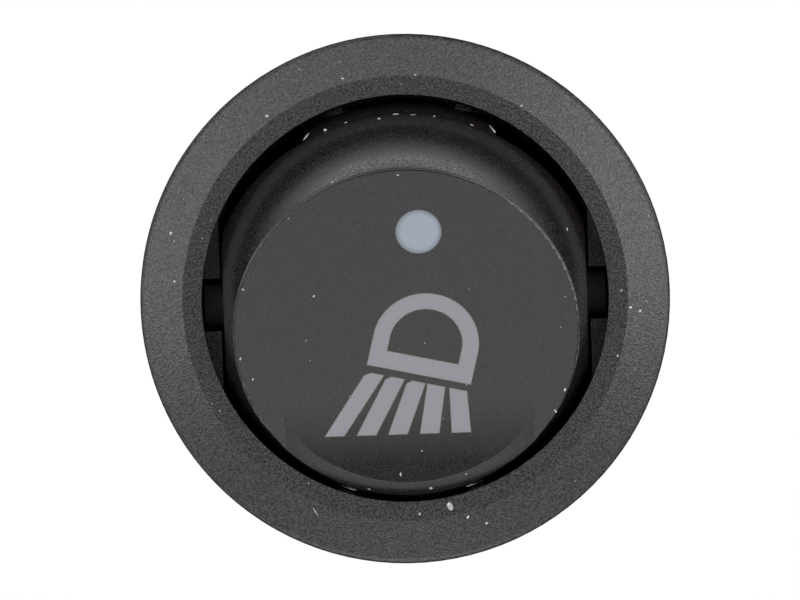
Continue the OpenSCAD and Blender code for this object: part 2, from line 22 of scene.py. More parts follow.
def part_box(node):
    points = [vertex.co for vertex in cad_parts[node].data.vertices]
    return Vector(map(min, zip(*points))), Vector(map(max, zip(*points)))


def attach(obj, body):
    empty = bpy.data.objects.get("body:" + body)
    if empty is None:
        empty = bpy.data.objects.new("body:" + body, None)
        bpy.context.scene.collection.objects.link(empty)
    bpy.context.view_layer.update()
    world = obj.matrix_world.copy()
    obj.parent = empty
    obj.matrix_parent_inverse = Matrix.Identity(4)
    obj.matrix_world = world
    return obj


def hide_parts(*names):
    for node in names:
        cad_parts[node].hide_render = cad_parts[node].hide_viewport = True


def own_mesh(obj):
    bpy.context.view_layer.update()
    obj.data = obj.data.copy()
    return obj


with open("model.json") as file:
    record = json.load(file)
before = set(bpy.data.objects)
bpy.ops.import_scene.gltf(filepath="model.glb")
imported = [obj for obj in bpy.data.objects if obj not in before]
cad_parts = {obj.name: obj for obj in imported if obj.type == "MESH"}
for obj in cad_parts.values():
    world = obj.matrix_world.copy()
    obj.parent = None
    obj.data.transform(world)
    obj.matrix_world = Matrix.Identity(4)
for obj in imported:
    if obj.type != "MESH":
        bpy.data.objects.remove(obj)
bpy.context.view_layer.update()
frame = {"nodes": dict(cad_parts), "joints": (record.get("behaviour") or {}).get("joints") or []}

LOG = logging.getLogger("rocker_switch")
MM = 0.001
MICRON = 0.000001

# A sheet counts as level where the Z of every face's normal is beyond this.
LEVEL = 0.999

# Detail and roughness of the noise behind clouds of colour, relief and gloss.
CLOUD_DETAIL, CLOUD_ROUGHNESS = 4.0, 0.6
RELIEF_ROUGHNESS = 0.55
GLOSS_DETAIL, GLOSS_LOW, GLOSS_HIGH = 3.0, 0.3, 0.7

# The run of a metal that has no lines along it.
NO_RUN = (1.0, 1.0, 1.0)

Point = tuple[float, float]
Loop = list[Point]
Triple = tuple[float, float, float]
Inputs = dict[str | int, object]
Rows = dict[str, tuple]
Piece = bpy.types.Object
Material = bpy.types.Material
Socket = bpy.types.NodeSocket
Tree = bpy.types.NodeTree


class Body(Enum):
    """The rigid bodies that carry the pieces made here, by their names in the frame."""

    FIXED = "body"
    ROCKER = "rocker"


class Slot(Enum):
    """The record's material slots, by their names."""

    BASE = "base_nylon"
    SPRING = "spring_steel"
    SOLDER = "tinned_brass"


# ---- tools -------------------------------------------------------------------


def linear(colour: str) -> tuple[float, float, float, float]:
    """Turns an sRGB hex colour into linear light.

    Args:
        colour: "#rrggbb".

    Returns:
        Red, green, blue and an alpha of 1.
    """
    parts = (int(colour[i : i + 2], 16) / 255 for i in (1, 3, 5))
    light = [c / 12.92 if c <= 0.04045 else ((c + 0.055) / 1.055) ** 2.4 for c in parts]
    return light[0], light[1], light[2], 1.0


def add_node(
    tree: Tree, kind: str, inputs: Inputs | None = None, **settings: object
) -> bpy.types.Node:
    """Adds one node with its inputs and settings.

    Args:
        tree: The tree that the node joins.
        kind: The node's type name.
        inputs: Values or output sockets for its inputs, by name or place.
        settings: Attributes of the node.

    Returns:
        The new node.
    """
    node = tree.nodes.new(kind)
    for name, value in settings.items():
        setattr(node, name, value)
    for key, value in (inputs or {}).items():
        if isinstance(value, bpy.types.NodeSocket):
            tree.links.new(value, node.inputs[key])
        else:
            node.inputs[key].default_value = value
    return node


def given(nodes: dict[str, bpy.types.Node], source: str) -> Socket:
    """Finds the output that a text such as "ring.Curve" or "sum.0" stands for."""
    label, output = source.split(".", 1)
    return nodes[label].outputs[int(output) if output.isdigit() else output]


def wire(tree: Tree, rows: Rows, **known: bpy.types.Node) -> dict[str, bpy.types.Node]:
    """Adds a table of nodes, each of which may take what an earlier one gives.

    Args:
        tree: The tree that the nodes join.
        rows: By each node's label, its type, its inputs and any settings. The type may end in
            a colon and the node's operation. An input such as "ring.Curve" is what the node
            ring gives as Curve, and "sum.0" is the first that the node sum gives.
        known: Nodes that are there already, by label.

    Returns:
        All the nodes, by label.
    """
    nodes = dict(known)
    for label, (kind, inputs, *settings) in rows.items():
        kind, _, operation = kind.partition(":")
        ready = dict(inputs)
        for key, value in inputs.items():
            if isinstance(value, str) and "." in value:
                ready[key] = given(nodes, value)
        options = {"operation": operation} if operation else {}
        for more in settings:
            options |= more
        nodes[label] = add_node(tree, kind, ready, **options)
    return nodes


def point_mesh(name: str, places: list[Triple]) -> bpy.types.Mesh:
    """Makes a mesh of loose vertices, placed in metres."""
    mesh = bpy.data.meshes.new(name)
    mesh.from_pydata(places, [], [])
    return mesh


def emptied(holder: Material | bpy.types.World) -> Tree:
    """Empties the node tree of a material or a world.

    Args:
        holder: The material or world.

    Returns:
        Its tree.
    """
    holder.use_nodes = True
    holder.node_tree.nodes.clear()
    return holder.node_tree


def mesh_object(name: str, shape: bmesh.types.BMesh, material: Material) -> Piece:
    """Makes a finished piece at the origin from a mesh that is already in place.

    Args:
        name: The piece's name.
        shape: Its mesh, in metres in the switch's frame; it is freed here.
        material: Its finish.

    Returns:
        The piece, linked to the scene.
    """
    bmesh.ops.recalc_face_normals(shape, faces=shape.faces)
    if all(abs(face.normal.z) > LEVEL for face in shape.faces):
        bmesh.ops.reverse_faces(shape, faces=[f for f in shape.faces if f.normal.z < 0])
    mesh = bpy.data.meshes.new(name)
    shape.to_mesh(mesh)
    shape.free()
    mesh.materials.append(material)
    piece = bpy.data.objects.new(name, mesh)
    bpy.context.scene.collection.objects.link(piece)
    return piece


def paint(node: str, material: Material) -> None:
    """Gives a solid of the frame its finish."""
    for place in frame["nodes"][node].material_slots:
        place.material = material


def ride(piece: Piece, body: Body) -> Piece:
    """Sets a piece on its body.

    Args:
        piece: The finished piece.
        body: The body that carries it.

    Returns:
        The same piece.
    """
    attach(piece, body.value)
    return piece


def middle_of(node: str) -> Vector:
    """Gives the middle of a solid's box, in metres."""
    low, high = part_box(node)
    return (low + high) / 2


class RockerAxes:
    """The rocker's own axes as it rests: the pivot at their origin, Z along the plunger."""

    def __init__(self) -> None:
        """Takes the pivot and half of its travel from the frame."""
        pivot = next(joint for joint in frame["joints"] if joint["name"] == "rocker_pivot")
        tilt = math.radians(pivot["range_deg"][1] / 2)
        self.to_frame = Matrix.Translation(pivot["pos_m"]) @ Matrix.Rotation(tilt, 4, "X")

    def corners(self, node: str) -> list[Vector]:
        """Gives the corners of a solid in these axes, in metres."""
        back = self.to_frame.inverted()
        return [back @ vertex.co for vertex in frame["nodes"][node].data.vertices]


class GeometryTree:
    """A Geometry Nodes tree with named inputs that is evaluated once to a plain mesh."""

    def __init__(
        self, name: str, sizes: dict[str, float | int], base: bpy.types.Mesh | None = None
    ) -> None:
        """Starts the tree and its inputs.

        Args:
            name: The name of the tree and of the piece.
            sizes: The tree's inputs, by name.
            base: The mesh that comes in as Base, if the tree works on one.
        """
        self.name = name
        self.sizes = sizes
        self.base = base or bpy.data.meshes.new(name)
        self.tree = bpy.data.node_groups.new(name, "GeometryNodeTree")
        sockets = {"Base": "Geometry"} | {
            label: "Int" if isinstance(value, int) else "Float" for label, value in sizes.items()
        }
        face = self.tree.interface
        for label, kind in sockets.items():
            face.new_socket(label, in_out="INPUT", socket_type=f"NodeSocket{kind}")
        face.new_socket("Geometry", in_out="OUTPUT", socket_type="NodeSocketGeometry")
        self.source = self.tree.nodes.new("NodeGroupInput")

    def bake(self, rows: Rows, geometry: str, material: Material) -> Piece:
        """Wires the tree, evaluates it and keeps the result as a plain mesh.

        Args:
            rows: The table of nodes; in it, "size.Height" is the tree's input Height.
            geometry: Where the finished geometry comes from, written as in the table.
            material: The finish of the piece.

        Returns:
            The piece, at the origin, with no modifier left.
        """
        ending = {
            "real": ("GeometryNodeRealizeInstances", {"Geometry": geometry}),
            "dressed": (
                "GeometryNodeSetMaterial", {"Geometry": "real.Geometry", "Material": material}
            ),
            "end": ("NodeGroupOutput", {"Geometry": "dressed.Geometry"}),
        }
        wire(self.tree, rows | ending, size=self.source)
        piece = bpy.data.objects.new(self.name, self.base)
        bpy.context.scene.collection.objects.link(piece)
        modifier = piece.modifiers.new(self.name, "NODES")
        modifier.node_group = self.tree
        for item in self.tree.interface.items_tree:
            if item.name in self.sizes:
                modifier[item.identifier] = self.sizes[item.name]
        depsgraph = bpy.context.evaluated_depsgraph_get()
        mesh = bpy.data.meshes.new_from_object(piece.evaluated_get(depsgraph))
        piece.modifiers.remove(modifier)
        shape = bmesh.new()
        shape.from_mesh(mesh)
        bmesh.ops.recalc_face_normals(shape, faces=shape.faces)
        shape.to_mesh(mesh)
        shape.free()
        mesh.shade_smooth()
        piece.data = mesh
        return piece


# ---- finishes ----------------------------------------------------------------


@dataclass(frozen=True)
class Surface:
    """What a process works on: a finish's tree and shader, and the place patterns follow."""

    finish: "Finish"
    tree: Tree
    place: Socket
    shader: bpy.types.Node

    def feed(self, name: str, rows: Rows, value: str) -> Socket:
        """Adds a table of nodes and leads what it gives into the shader.

        Args:
            name: The shader's input.
            rows: The table of nodes.
            value: Where the value comes from, written as in the table.

        Returns:
            The socket that feeds the shader.
        """
        socket = given(wire(self.tree, rows), value)
        self.tree.links.new(socket, self.shader.inputs[name])
        return socket

    def blend(self, rows: Rows, share: str | Socket, other: str) -> None:
        """Passes the finish's colour into another one.

        Args:
            rows: The table of nodes that gives the share.
            share: Where the other colour's share comes from.
            other: The other colour, in hex.
        """
        colours = {0: share, 6: linear(self.finish.colour), 7: linear(other)}
        mixed = {"mixed": ("ShaderNodeMix", colours, {"data_type": "RGBA"})}
        self.feed("Base Color", rows | mixed, "mixed.2")

    def mottle(self, other: str, patch: float, softness: float = 0.18) -> None:
        """Lets the colour drift towards another one in soft patches.

        Args:
            other: The colour that the patches lean to, in hex.
            patch: The patches' size.
            softness: How gently one colour passes into the other.
        """
        noise = {"Vector": self.place, "Scale": 1 / (patch * MM)}
        noise |= {"Detail": CLOUD_DETAIL, "Roughness": CLOUD_ROUGHNESS}
        band = {"Value": "cloud.Fac", "From Min": 0.5 - softness, "From Max": 0.5 + softness}
        rows = {"cloud": ("ShaderNodeTexNoise", noise), "share": ("ShaderNodeMapRange", band)}
        self.blend(rows, "share.Result", other)

    def relief(self, grain: float, depth: float, detail: float = 2.0) -> None:
        """Gives the surface a fine random relief.

        Args:
            grain: The width of a hump.
            depth: The height of a hump in microns.
            detail: How many finer layers lie on the humps.
        """
        noise = {"Vector": self.place, "Scale": 1 / (grain * MM)}
        noise |= {"Detail": detail, "Roughness": RELIEF_ROUGHNESS}
        self.bump({"humps": ("ShaderNodeTexNoise", noise)}, "humps.Fac", depth)

    def bump(self, rows: Rows, height: str, depth: float) -> None:
        """Turns a height into the shader's normal.

        Args:
            rows: The table of nodes that gives the height.
            height: Where the height comes from, which runs from 0 to 1.
            depth: What a height of 1 stands for, in microns.
        """
        raised = {"Strength": 1.0, "Distance": depth * MICRON, "Height": height}
        self.feed("Normal", rows | {"raised": ("ShaderNodeBump", raised)}, "raised.Normal")

    def uneven_gloss(self, patch: float, spread: float) -> None:
        """Lets the roughness vary softly round its value.

        Args:
            patch: The patches' size.
            spread: How far the roughness moves to either side.
        """
        noise = {"Vector": self.place, "Scale": 1 / (patch * MM), "Detail": GLOSS_DETAIL}
        band = {"Value": "cloud.Fac", "From Min": GLOSS_LOW, "From Max": GLOSS_HIGH}
        band |= {"To Min": self.finish.roughness - spread, "To Max": self.finish.roughness + spread}
        rows = {"cloud": ("ShaderNodeTexNoise", noise), "gloss": ("ShaderNodeMapRange", band)}
        self.feed("Roughness", rows, "gloss.Result")

    def beyond(self, axis: str, middle: float, reach: float) -> Rows:
        """Finds what lies farther than a reach from a middle plane.

        Args:
            axis: The axis across the plane.
            middle: The plane's place on it, in metres.
            reach: The distance from the plane, in metres.

        Returns:
            A table of nodes, in which "out.0" is 1 beyond the reach and 0 within it.
        """
        return {
            "axes": ("ShaderNodeSeparateXYZ", {"Vector": self.place}),
            "offset": ("ShaderNodeMath:SUBTRACT", {0: f"axes.{axis}", 1: middle}),
            "away": ("ShaderNodeMath:ABSOLUTE", {0: "offset.0"}),
            "out": ("ShaderNodeMath:GREATER_THAN", {0: "away.0", 1: reach}),
        }


@dataclass(frozen=True)
class Finish:
    """A plain surface: one colour and one gloss, to which each process adds its marks."""

    name: str
    colour: str
    roughness: float
    metallic: float = 0.0
    ior: float = 1.5

    def build(self) -> Material:
        """Makes the material.

        Returns:
            The finished material.
        """
        material = bpy.data.materials.new(self.name)
        material.diffuse_color = linear(self.colour)
        plain = {
            "Base Color": linear(self.colour),
            "Roughness": self.roughness,
            "Metallic": self.metallic,
            "IOR": self.ior,
        }
        rows = {
            "place": ("ShaderNodeTexCoord", {}),
            "shader": ("ShaderNodeBsdfPrincipled", plain),
            "end": ("ShaderNodeOutputMaterial", {"Surface": "shader.BSDF"}),
        }
        tree = emptied(material)
        nodes = wire(tree, rows)
        self.work(Surface(self, tree, given(nodes, "place.Object"), nodes["shader"]))
        return material

    def work(self, surface: Surface) -> None:
        """Adds the marks of the process; a plain surface has none."""


@dataclass(frozen=True)
class SparkErodedNylon(Finish):
    """Black nylon moulded against a spark-eroded steel."""

    # The pebble is drawn about twice as coarse as the real one, so that it still shows when
    # the whole switch is in view.
    # The pale specks are partly the nylon's own tone and partly painted glints of light off the
    # pebble.
    pale: str = "#38373b"
    grain: float = 0.09
    depth: float = 22.0
    contrast: float = 0.09
    gloss_grain: float = 0.072
    gloss_spread: float = 0.16

    def work(self, surface: Surface) -> None:
        """Adds the eroded pebble, in relief, in tone and in gloss; the pale specks in the tone are
        partly the nylon's own tone and partly painted glints.
        """
        surface.mottle(self.pale, self.grain, self.contrast)
        surface.uneven_gloss(self.gloss_grain, self.gloss_spread)
        surface.relief(self.grain, self.depth, 1.0)


@dataclass(frozen=True)
class SatinCoat(Finish):
    """Smooth black plastic or sprayed satin coat, with a trace of orange peel."""

    # The mist is drawn about twice as coarse as real spray droplets.
    pale: str = "#1f1a1f"
    peel: float = 0.35
    depth: float = 1.6
    mist_share: float = 0.2
    mist_contrast: float = 0.08
    gloss_share: float = 0.24
    gloss_spread: float = 0.12
    coated_to: float = 100.0
    bare_roughness: float = 0.85

    def work(self, surface: Surface) -> None:
        """Adds the peel of the spray and its fine mist, and leaves the pivots bare."""
        surface.mottle(self.pale, self.peel * self.mist_share, self.mist_contrast)
        surface.uneven_gloss(self.peel * self.gloss_share, self.gloss_spread)
        surface.relief(self.peel, self.depth)
        gloss = surface.shader.inputs["Roughness"].links[0].from_socket
        rows = surface.beyond("X", 0.0, self.coated_to * MM)
        shares = {0: "out.0", 2: gloss, 3: self.bare_roughness}
        rows["mixed"] = ("ShaderNodeMix", shares, {"data_type": "FLOAT"})
        surface.feed("Roughness", rows, "mixed.0")


@dataclass(frozen=True)
class MilkyPlastic(Finish):
    """Translucent moulded plastic: light spreads in it, so its shade is soft."""

    depth_of_light: float = 0.4
    scattered: float = 0.35
    wave: float = 0.3
    wave_depth: float = 1.0

    def work(self, surface: Surface) -> None:
        """Adds the scattered light and the polished mould's faint waviness."""
        inputs = surface.shader.inputs
        inputs["Subsurface Weight"].default_value = self.scattered
        inputs["Subsurface Scale"].default_value = self.depth_of_light * MM
        inputs["Subsurface Radius"].default_value = (1.0, 1.0, 1.0)
        surface.relief(self.wave, self.wave_depth)


@dataclass(frozen=True)
class LensPlastic(MilkyPlastic):
    """Milky lens set in a dark button, with the button's shade painted on its rim as a duller grey.
    """

    middle: Triple = (0.0, 0.0, 0.0)
    clear_to: float = 0.74
    rim: float = 0.99
    # The grey towards the rim is painted shade from the button round the lens.
    rim_painted_shade: str = "#6b7078"

    def work(self, surface: Surface) -> None:
        """Adds the button's shade, painted as a duller grey, to the rim of the milky plastic."""
        super().work(surface)
        band = {"Value": "out.Value", "From Min": self.clear_to * MM, "From Max": self.rim * MM}
        rows = {
            "out": ("ShaderNodeVectorMath:DISTANCE", {0: surface.place, 1: self.middle}),
            "edge": ("ShaderNodeMapRange", band, {"interpolation_type": "SMOOTHSTEP"}),
        }
        surface.blend(rows, "edge.Result", self.rim_painted_shade)


@dataclass(frozen=True)
class LaserFoam(Finish):
    """Plastic that a marking laser has worked, in fine overlapping spots."""

    # The spots are drawn a little coarser than a laser's.
    grey: str = "#7e7f86"
    spot: float = 0.06
    depth: float = 4.0

    def work(self, surface: Surface) -> None:
        """Adds the speckle and the roughness of the foam."""
        surface.mottle(self.grey, self.spot)
        surface.relief(self.spot, self.depth)


@dataclass(frozen=True)
class StampedSheet(Finish):
    """Rolled or drawn metal: fine lines along its run, and a little tarnish."""

    # The lines are drawn a few times wider than real rolling lines.
    metallic: float = 1.0
    tarnish: str = "#8a7440"
    line: float = 0.05
    run: Triple = (1.0, 1.0, 0.04)
    depth: float = 1.2
    cloud: float = 1.2
    cloud_softness: float = 0.3
    gloss_spread: float = 0.08

    def work(self, surface: Surface) -> None:
        """Adds lines along the strip, and tarnish in clouds of about a millimetre."""
        stretch = {"Vector": surface.place, "Scale": self.run}
        lines = wire(surface.tree, {"lines": ("ShaderNodeMapping", stretch)})
        along = replace(surface, place=given(lines, "lines.Vector"))
        surface.mottle(self.tarnish, self.cloud, self.cloud_softness)
        along.uneven_gloss(self.line, self.gloss_spread)
        along.relief(self.line, self.depth)


@dataclass(frozen=True)
class SolderMask(Finish):
    """Glass laminate under solder mask, over buried copper."""

    copper: str = "#2f7f45"
    pitch: float = 1.3
    gap: float = 0.06
    gap_edge: float = 0.1
    pad_length: float = 2.4
    pad_width: float = 0.9
    depth: float = 30.0

    def work(self, surface: Surface) -> None:
        """Adds the copper tracks under the mask, as a paler colour and a low step."""
        pattern = {
            "Vector": surface.place,
            "Scale": 1 / (self.pitch * MM),
            "Mortar Size": self.gap,
            "Mortar Smooth": self.gap_edge,
            "Brick Width": self.pad_length,
            "Row Height": self.pad_width,
            "Color1": linear(self.colour),
            "Color2": linear(self.colour),
            "Mortar": linear(self.copper),
        }
        rows = {"tracks": ("ShaderNodeTexBrick", pattern, {"offset": 0.5})}
        surface.feed("Base Color", rows, "tracks.Color")
        surface.bump(rows, "tracks.Fac", self.depth)


@dataclass(frozen=True)
class CappedChip(Finish):
    """Chip part: a glazed body between two tinned end caps."""

    # The middle and the half length are in metres, as they come from the frame.
    cap: str = "#c3c1ba"
    middle: float = 0.0
    half: float = 1.0
    cap_length: float = 0.4
    ripple: float = 0.15
    depth: float = 2.0

    def work(self, surface: Surface) -> None:
        """Tins both ends, beyond a set distance from the part's middle."""
        rows = surface.beyond("Y", self.middle, self.half - self.cap_length * MM)
        surface.blend({}, surface.feed("Metallic", rows, "out.0"), self.cap)
        surface.relief(self.ripple, self.depth)


@dataclass(frozen=True)
class LampBody(Finish):
    """Lamp package: a white moulded cup filled with yellow phosphor."""

    # The axis is in metres, as it comes from the frame.
    phosphor: str = "#e2c14a"
    axis_x: float = 0.0
    axis_y: float = 0.0
    window: float = 0.5
    ripple: float = 0.2
    depth: float = 1.5

    def work(self, surface: Surface) -> None:
        """Fills the round window with phosphor, on the lamps at both sides alike."""
        axis = (self.axis_x, self.axis_y, 0.0)
        rows = {
            "axes": ("ShaderNodeSeparateXYZ", {"Vector": surface.place}),
            "side": ("ShaderNodeMath:ABSOLUTE", {0: "axes.X"}),
            "flat": ("ShaderNodeCombineXYZ", {"X": "side.0", "Y": "axes.Y"}),
            "reach": ("ShaderNodeVectorMath:DISTANCE", {0: "flat.Vector", 1: axis}),
            "inside": ("ShaderNodeMath:LESS_THAN", {0: "reach.Value", 1: self.window * MM}),
        }
        surface.blend(rows, "inside.0", self.phosphor)
        surface.relief(self.ripple, self.depth)


@dataclass(frozen=True)
class SettledLint(Finish):
    """Lint and moulding swarf that has settled on the switch."""

    grey: str = "#8d8a86"
    patch: float = 0.5

    def work(self, surface: Surface) -> None:
        """Lets the tone differ from crumb to crumb."""
        surface.mottle(self.grey, self.patch)


# ---- housing and base --------------------------------------------------------


@dataclass
class Housing:
    """The bezel with its barrel, and the base that closes the barrel."""

    # Spark erosion leaves a fine pebble: the black reads as a dull charcoal, and loses its gloss
    # point by point. Its pale specks are partly the nylon's own tone and partly painted glints of
    # light off the pebble.
    shell: Finish = SparkErodedNylon("spark_eroded_black_nylon", "#0c0c0d", 0.36, ior=1.53)
    # A plain steel leaves the base smoother: an even, slightly waxy black.
    floor: Finish = SatinCoat(
        "plain_moulded_black_nylon", "#202023", 0.5, ior=1.53, pale="#29292c", peel=0.8
    )
    pins: int = 4
    pin_circle: float = 5.9
    pin_radius: float = 0.75
    pin_turn: float = 45
    ridge_radius: float = 0.03
    ring_corners: int = 32
    ridge_corners: int = 8

    def dress(self) -> Material:
        """Gives the two mouldings their finishes.

        Returns:
            The base's finish, for the marks on it.
        """
        paint("housing", self.shell.build())
        plain = self.floor.build()
        paint("base", plain)
        return plain

    def witness_marks(self, plain: Material) -> Piece:
        """Raises the ejector pins' witness rings on the base's underside.

        Args:
            plain: The base's finish.

        Returns:
            The rings, as one piece on the fixed body.
        """
        sizes = {
            "Pins": self.pins,
            "Circle": self.pin_circle * MM,
            "Pin radius": self.pin_radius * MM,
            "Pin corners": self.ring_corners,
            "Ridge": self.ridge_radius * MM,
            "Ridge corners": self.ridge_corners,
            "Underside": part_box("base")[0].z,
        }
        ring = {"Resolution": "size.Pin corners", "Radius": "size.Pin radius"}
        ridge = {"Resolution": "size.Ridge corners", "Radius": "size.Ridge"}
        circle = {"Vertices": "size.Pins", "Radius": "size.Circle"}
        turn = (0.0, 0.0, math.radians(self.pin_turn))
        rows = {
            "ring": ("GeometryNodeCurvePrimitiveCircle", ring),
            "ridge": ("GeometryNodeCurvePrimitiveCircle", ridge),
            "torus": (
                "GeometryNodeCurveToMesh", {"Curve": "ring.Curve", "Profile Curve": "ridge.Curve"}
            ),
            "circle": ("GeometryNodeMeshCircle", circle, {"fill_type": "NONE"}),
            "lift": ("ShaderNodeCombineXYZ", {"Z": "size.Underside"}),
            "turned": (
                "GeometryNodeTransform",
                {"Geometry": "circle.Mesh", "Translation": "lift.Vector", "Rotation": turn},
            ),
            "rings": (
                "GeometryNodeInstanceOnPoints",
                {"Points": "turned.Geometry", "Instance": "torus.Mesh"},
            ),
        }
        tree = GeometryTree("ejector_pin_rings", sizes)
        return ride(tree.bake(rows, "rings.Instances", plain), Body.FIXED)


# ---- rocker ------------------------------------------------------------------


@dataclass
class LampMarking:
    """Work-lamp symbol in the rocker's face: a tilted lamp outline over five rays."""

    # The laser foams the plastic under the coat: a chalky pale grey with a fine speckle.
    foam: Finish = LaserFoam("laser_foamed_polycarbonate", "#7f8085", 0.8)
    # Where the beam turns it burns a little: a hair line of brown round each form.
    char: Finish = LaserFoam("laser_charred_edge", "#857c70", 0.8, grey="#6b645c")
    axes: RockerAxes = field(default_factory=RockerAxes)
    turn: float = 13.5
    lamp_middle: float = 0.92
    arc_line: float = -0.3
    outer_radius: float = 2.27
    inner_radius: float = 1.6
    base_line: float = -1.744
    inner_line: float = -0.99
    ray_line: float = -2.12
    ray_tops: tuple[float, ...] = (-0.95, -0.03, 0.89, 1.76, 2.73)
    ray_feet: tuple[float, ...] = (-3.24, -1.86, -0.5, 0.87, 2.24)
    ray_foot_line: float = -4.61
    ray_top_width: float = 0.73
    ray_foot_width: float = 0.79
    ray_chamfer: float = 0.18
    chamfered_rays: int = 3
    char_width: float = 0.03
    char_lift: float = 0.006
    foam_lift: float = 0.012
    root: float = 0.03
    lip_start: float = 3.105
    lip_curve: float = 16.0
    arc_steps: int = 56

    def __post_init__(self) -> None:
        """Takes the face's height over the pivot from the lens, which is flush with it."""
        self.face_height = max(point.z for point in self.axes.corners("indicator_lens")) / MM

    def on_face(self, point: Point, lift: float) -> Vector:
        """Places a point of the marking on the rocker's face or the foot of its lip.

        Args:
            point: Distances to the right and up from the face's middle.
            lift: Height above the surface.

        Returns:
            The point in the switch's frame, in metres.
        """
        beyond = max(0.0, -point[1] - self.lip_start)
        rise = self.lip_curve - math.sqrt(self.lip_curve**2 - beyond**2)
        height = self.face_height + rise + lift
        return self.axes.to_frame @ Vector((point[0] * MM, point[1] * MM, height * MM))

    def turned(self, along: float, up: float) -> Point:
        """Turns a point of the tilted lamp into the face's axes."""
        cosine, sine = math.cos(math.radians(self.turn)), math.sin(math.radians(self.turn))
        return along * cosine + up * sine, -along * sine + up * cosine

    def lamp_loop(self, radius: float, line: float) -> Loop:
        """Draws a lamp outline: a half circle with straight sides down to a base line.

        Args:
            radius: Radius of the half circle.
            line: Height of the base line.

        Returns:
            The outline's points, anticlockwise.
        """
        angles = (math.pi * i / self.arc_steps for i in range(self.arc_steps + 1))
        arc = [
            (self.lamp_middle + radius * math.cos(a), self.arc_line + radius * math.sin(a))
            for a in angles
        ]
        corners = [(self.lamp_middle - radius, line), (self.lamp_middle + radius, line)]
        return [self.turned(*point) for point in arc + corners]

    def ray_loop(self, number: int) -> Loop:
        """Draws one ray, from its slanted top to its level foot.

        Args:
            number: The ray's place, from 0 at the left.

        Returns:
            The outline's points, anticlockwise.
        """
        top, foot = self.ray_tops[number], self.ray_feet[number]
        left = self.turned(top - self.ray_top_width / 2, self.ray_line)
        right = self.turned(top + self.ray_top_width / 2, self.ray_line)
        foot_left = (foot - self.ray_foot_width / 2, self.ray_foot_line)
        foot_right = (foot + self.ray_foot_width / 2, self.ray_foot_line)
        if number >= self.chamfered_rays:
            return [foot_left, foot_right, right, left]
        cut_top = step_towards(left, right, self.ray_chamfer)
        cut_side = step_towards(left, foot_left, self.ray_chamfer)
        return [foot_left, foot_right, right, cut_top, cut_side]

    def layer(self, name: str, finish: Finish, lift: float, grow: float) -> Piece:
        """Builds one layer of the whole marking.

        Args:
            name: The piece's name.
            finish: Its finish.
            lift: Height of its top above the face.
            grow: How far its outlines stand out.

        Returns:
            The layer, riding on the rocker.
        """
        shape = bmesh.new()
        outer = grown(self.lamp_loop(self.outer_radius, self.base_line), grow)
        inner = grown(self.lamp_loop(self.inner_radius, self.inner_line), -grow)
        self.add_slab(shape, lift, outer, inner)
        for number in range(len(self.ray_tops)):
            self.add_slab(shape, lift, grown(self.ray_loop(number), grow))
        return ride(mesh_object(name, shape, finish.build()), Body.ROCKER)

    def add_slab(
        self, shape: bmesh.types.BMesh, lift: float, outer: Loop, inner: Loop | None = None
    ) -> None:
        """Adds a thin closed slab, with a hole if there is an inner outline.

        Args:
            shape: The mesh that it joins.
            lift: Height of its top above the face.
            outer: Its outline.
            inner: The hole's outline, with as many points as the outer one.
        """
        heights = (lift, -self.root)
        loops = [outer] if inner is None else [outer, inner]
        rings = [
            [[shape.verts.new(self.on_face(p, h)) for p in loop] for h in heights] for loop in loops
        ]
        count = len(outer)
        for top, low in rings:
            for i in range(count):
                k = (i + 1) % count
                shape.faces.new((top[i], low[i], low[k], top[k]))
        for level in range(len(heights)):
            if inner is None:
                shape.faces.new(rings[0][level])
                continue
            first, second = rings[0][level], rings[1][level]
            for i in range(count):
                k = (i + 1) % count
                shape.faces.new((first[i], first[k], second[k], second[i]))

    def build(self) -> list[Piece]:
        """Builds the charred edge and the foam on it.

        Returns:
            Both pieces.
        """
        return [
            self.layer("lamp_marking_char", self.char, self.char_lift, self.char_width),
            self.layer("lamp_marking", self.foam, self.foam_lift, 0.0),
        ]


def step_towards(start: Point, end: Point, distance: float) -> Point:
    """Gives the point at a distance from start on the way to end."""
    share = distance / math.dist(start, end)
    return start[0] + (end[0] - start[0]) * share, start[1] + (end[1] - start[1]) * share


def unit_normal(start: Point, end: Point) -> Point:
    """Gives the unit normal on the right of the way from start to end."""
    length = math.dist(start, end)
    return (end[1] - start[1]) / length, (start[0] - end[0]) / length


def grown(loop: Loop, by: float) -> Loop:
    """Moves a convex anticlockwise outline out by a distance, with mitred corners.

    Args:
        loop: The outline's points.
        by: The distance; inwards where it is negative.

    Returns:
        As many points.
    """
    moved = []
    for i, (x, y) in enumerate(loop):
        first = unit_normal(loop[i - 1], (x, y))
        second = unit_normal((x, y), loop[(i + 1) % len(loop)])
        spread = 1 + first[0] * second[0] + first[1] * second[1]
        moved.append(
            (x + by * (first[0] + second[0]) / spread, y + by * (first[1] + second[1]) / spread)
        )
    return moved


@dataclass
class Rocker:
    """The tilting button with its lens and its marking."""

    # The sprayed coat is smooth and satin: the face stays one calm dark grey with a fine
    # mist in it, and the ball-shaped side takes soft, bright bands.
    coat: Finish = SatinCoat(
        "satin_coated_black_polycarbonate", "#060506", 0.24, ior=1.58, coated_to=7.87
    )
    # Light sinks into the unlit lens: a cool, milky grey-blue with no sharp shade in it, and a
    # painted shade dulls its rim.
    lens: Finish = LensPlastic("milky_polycarbonate", "#89919c", 0.35, ior=1.58)
    marking: LampMarking = field(default_factory=LampMarking)
    face_depth: float = 0.01

    def lens_middle(self) -> Vector:
        """Finds the middle of the lens's face, in metres."""
        level = (self.marking.face_height - self.face_depth) * MM
        corners = self.marking.axes.corners("indicator_lens")
        face = [corner for corner in corners if corner.z > level]
        return self.marking.axes.to_frame @ (sum(face, Vector()) / len(face))

    def dress(self) -> None:
        """Gives the button and the lens their finishes."""
        paint("rocker", self.coat.build())
        paint("indicator_lens", replace(self.lens, middle=tuple(self.lens_middle())).build())


# ---- mechanism ---------------------------------------------------------------


